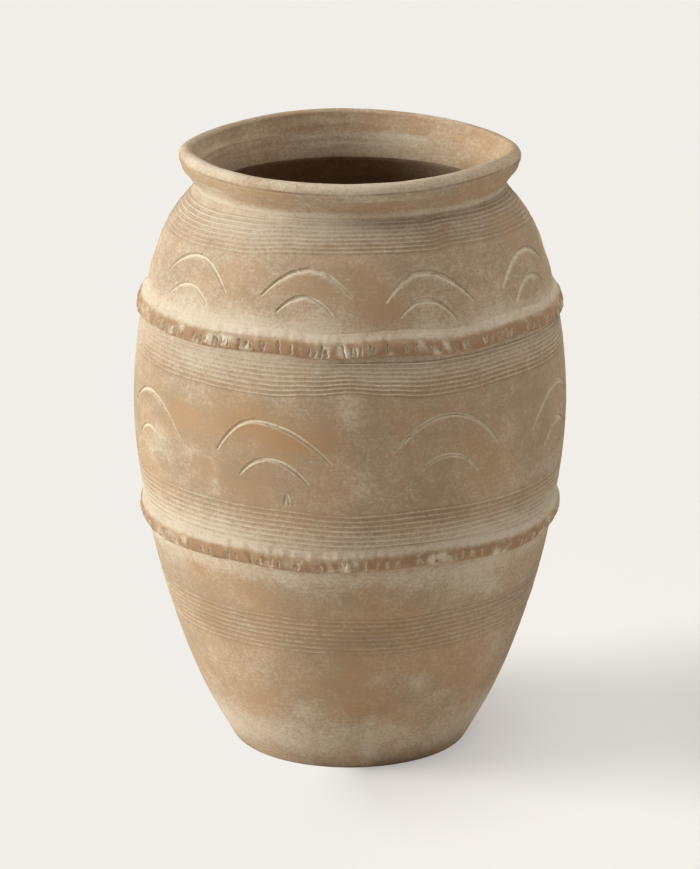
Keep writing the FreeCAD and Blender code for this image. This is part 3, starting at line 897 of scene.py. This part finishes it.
def makeCordon(which, name, node, chosen):
    bottom = cordons[which]["height"]
    low, high, lowRadius, highRadius = seatLine(which)
    taper = (highRadius - lowRadius) / (high - low)

    def seat(height):
        return lowRadius + (height - low) * taper

    section = [(seat(bottom + up) + out, bottom + up) for out, up in cordonShape["section"]]
    section += [(seat(bottom + up) - cordonShape["backDepth"], bottom + up)
                for up in cordonShape["backHeights"]]
    bm = spinSection(section, cordonShape["steps"])
    bearing, radius, height = places(bm)
    up = height - bottom
    out = radius - seat(height)
    settled = height + roundTable(bearing, cordons[which]["sway"], 1)
    proud = smooth(0.2, 1.2, out)
    uneven = 0.5 * clayNoise(bearing, height, size=14, seed=7.7)
    uneven += 0.9 * clayNoise(bearing, height, size=4, seed=1.1)
    pressed, pale = pressMarks(bearing, up, chosen, lowRadius)
    raggedUp = up + 1.8 * clayNoise(bearing, height * 0, size=9, seed=3.3)
    face = smooth(-0.4, 0.4, up) * (1 - smooth(*cordonShape["faceTop"], raggedUp))
    lumps = 0.8 * clayNoise(bearing, settled, size=5, seed=6.6)
    lumps += 0.8 * clayNoise(bearing, settled, size=26, seed=8.2)
    lumps += patchSum(bearing, settled, cordons[which]["pale"])
    reach = out * (1 + 0.06 * clayNoise(bearing, height * 0, size=30, seed=2.8))
    reach += (out > 0.05) * (proud * (uneven - 0.25) - pressed * proud * face)
    moveTo(bm, bearing, seat(settled) + reach + unevenness(bearing, settled), settled)
    wiped = smooth(*cordonShape["wiped"], up)
    finishPiece(bm, name, node, "rubbed_terracotta", {
        "wash": wash["veil"] + wiped * (washCover(bearing, settled) - wash["veil"]) + 0.9 * lumps * face,
        "rub": face * proud * (1 - 0.6 * smooth(0.1, 0.6, lumps)), "fill": pale * face * 0.55,
        # painted shade along the bottom edge, where the face overhangs the wall
        "paintedShade": 0.25 * (1 - smooth(0, 0.9, up)) * (out > 0.5),
        "warm": 0.2 * clayNoise(bearing, settled, size=25, seed=4.1),
    }, sharp=60)


makeCordon("lower", "lowerCordon", "lower_cordon", lowerMarks)
makeCordon("upper", "upperCordon", "upper_cordon", upperMarks)


print("stage: floor and light")
studio = {
    "floor": "#EEEBE6", "paper": "#F1EEE9", "floorHalf": 12, "room": "#F4F2EF", "roomGlow": 0.07,
    # where the paper turns evenly pale: shares of rightward, and metres from the jar's middle
    "shadowSide": 0.5, "paleSide": -0.3, "closeFrom": 0.3, "closeTo": 0.1, "closePale": 0.45,
}
lamps = {  # soft suns: energy, angle across, bearing, rise above the floor, colour
    "key": (4.3, 36, -86, 13, "#FFFFFF"),
    "overhead": (1.9, 42, 70, 84, "#FFFFFF"),
    "rightGlow": (0.75, 60, 98, 11, "#FFFFFF"),
}


def makePaper():
    # the shadow lies on the paper to the right; seen from the camera the paper to the left stays evenly pale
    material, tree = emptyMaterial("paperFloor")

    def maths(operation, first, second):
        return addNode(tree, "ShaderNodeMath", {"operation": operation}, i0=first, i1=second).outputs[0]

    def fade(value, low, high, most=1.0):
        return addNode(tree, "ShaderNodeMapRange", {"interpolation_type": "SMOOTHSTEP"}, Value=value,
                       From_Min=low, From_Max=high, To_Max=most).outputs[0]

    spot = addNode(tree, "ShaderNodeTexCoord").outputs["Object"]
    outward = addNode(tree, "ShaderNodeVectorMath", {"operation": "NORMALIZE"}, i0=spot).outputs[0]
    rightward = addNode(tree, "ShaderNodeSeparateXYZ", Vector=outward).outputs["X"]
    distance = addNode(tree, "ShaderNodeVectorMath", {"operation": "LENGTH"}, i0=spot).outputs["Value"]
    away = fade(rightward, studio["shadowSide"], studio["paleSide"])
    # near the jar the camera sees the shadow partly covered by the paper's glow: painted light that pales the
    # contact shadow
    close = fade(distance, studio["closeFrom"], studio["closeTo"], studio["closePale"])
    path = addNode(tree, "ShaderNodeLightPath").outputs
    seen = maths("MAXIMUM", path["Is Camera Ray"], path["Is Glossy Ray"])
    seen = maths("MAXIMUM", seen, path["Is Transmission Ray"])
    evenly = maths("MULTIPLY", seen, maths("MAXIMUM", away, close))
    paper = addNode(tree, "ShaderNodeBsdfDiffuse", Color=hexColour(studio["floor"])).outputs[0]
    pale = addNode(tree, "ShaderNodeEmission", Color=hexColour(studio["paper"])).outputs[0]
    mixed = addNode(tree, "ShaderNodeMixShader", i0=evenly, i1=paper, i2=pale).outputs[0]
    addNode(tree, "ShaderNodeOutputMaterial", Surface=mixed)
    return material


def makeFloor():
    bm = bmesh.new()
    bmesh.ops.create_grid(bm, x_segments=1, y_segments=1, size=studio["floorHalf"])
    mesh = bpy.data.meshes.new("floor")
    bm.to_mesh(mesh)
    bm.free()
    mesh.materials.append(makePaper())
    floor = bpy.data.objects.new("floor", mesh)
    bpy.context.scene.collection.objects.link(floor)


def makeLamp(name, energy, across, bearing, above, colour):
    sun = bpy.data.lights.new(name, "SUN")
    sun.energy = energy
    sun.angle = math.radians(across)
    sun.color = hexColour(colour)[:3]
    lamp = bpy.data.objects.new(name, sun)
    turn = math.radians(bearing)
    towards = Vector((math.sin(turn), -math.cos(turn), math.tan(math.radians(above))))
    lamp.rotation_euler = towards.to_track_quat("Z", "Y").to_euler()
    bpy.context.scene.collection.objects.link(lamp)


def makeRoom():
    world = bpy.data.worlds.new("softRoom")
    world.use_nodes = True
    tree = world.node_tree
    tree.nodes.clear()
    glow = addNode(tree, "ShaderNodeBackground", Color=hexColour(studio["room"]), Strength=studio["roomGlow"])
    addNode(tree, "ShaderNodeOutputWorld", Surface=glow.outputs[0])
    bpy.context.scene.world = world


makeFloor()
for name, values in lamps.items():
    makeLamp(name, *values)
makeRoom()
bpy.context.scene.view_settings.view_transform = "Standard"
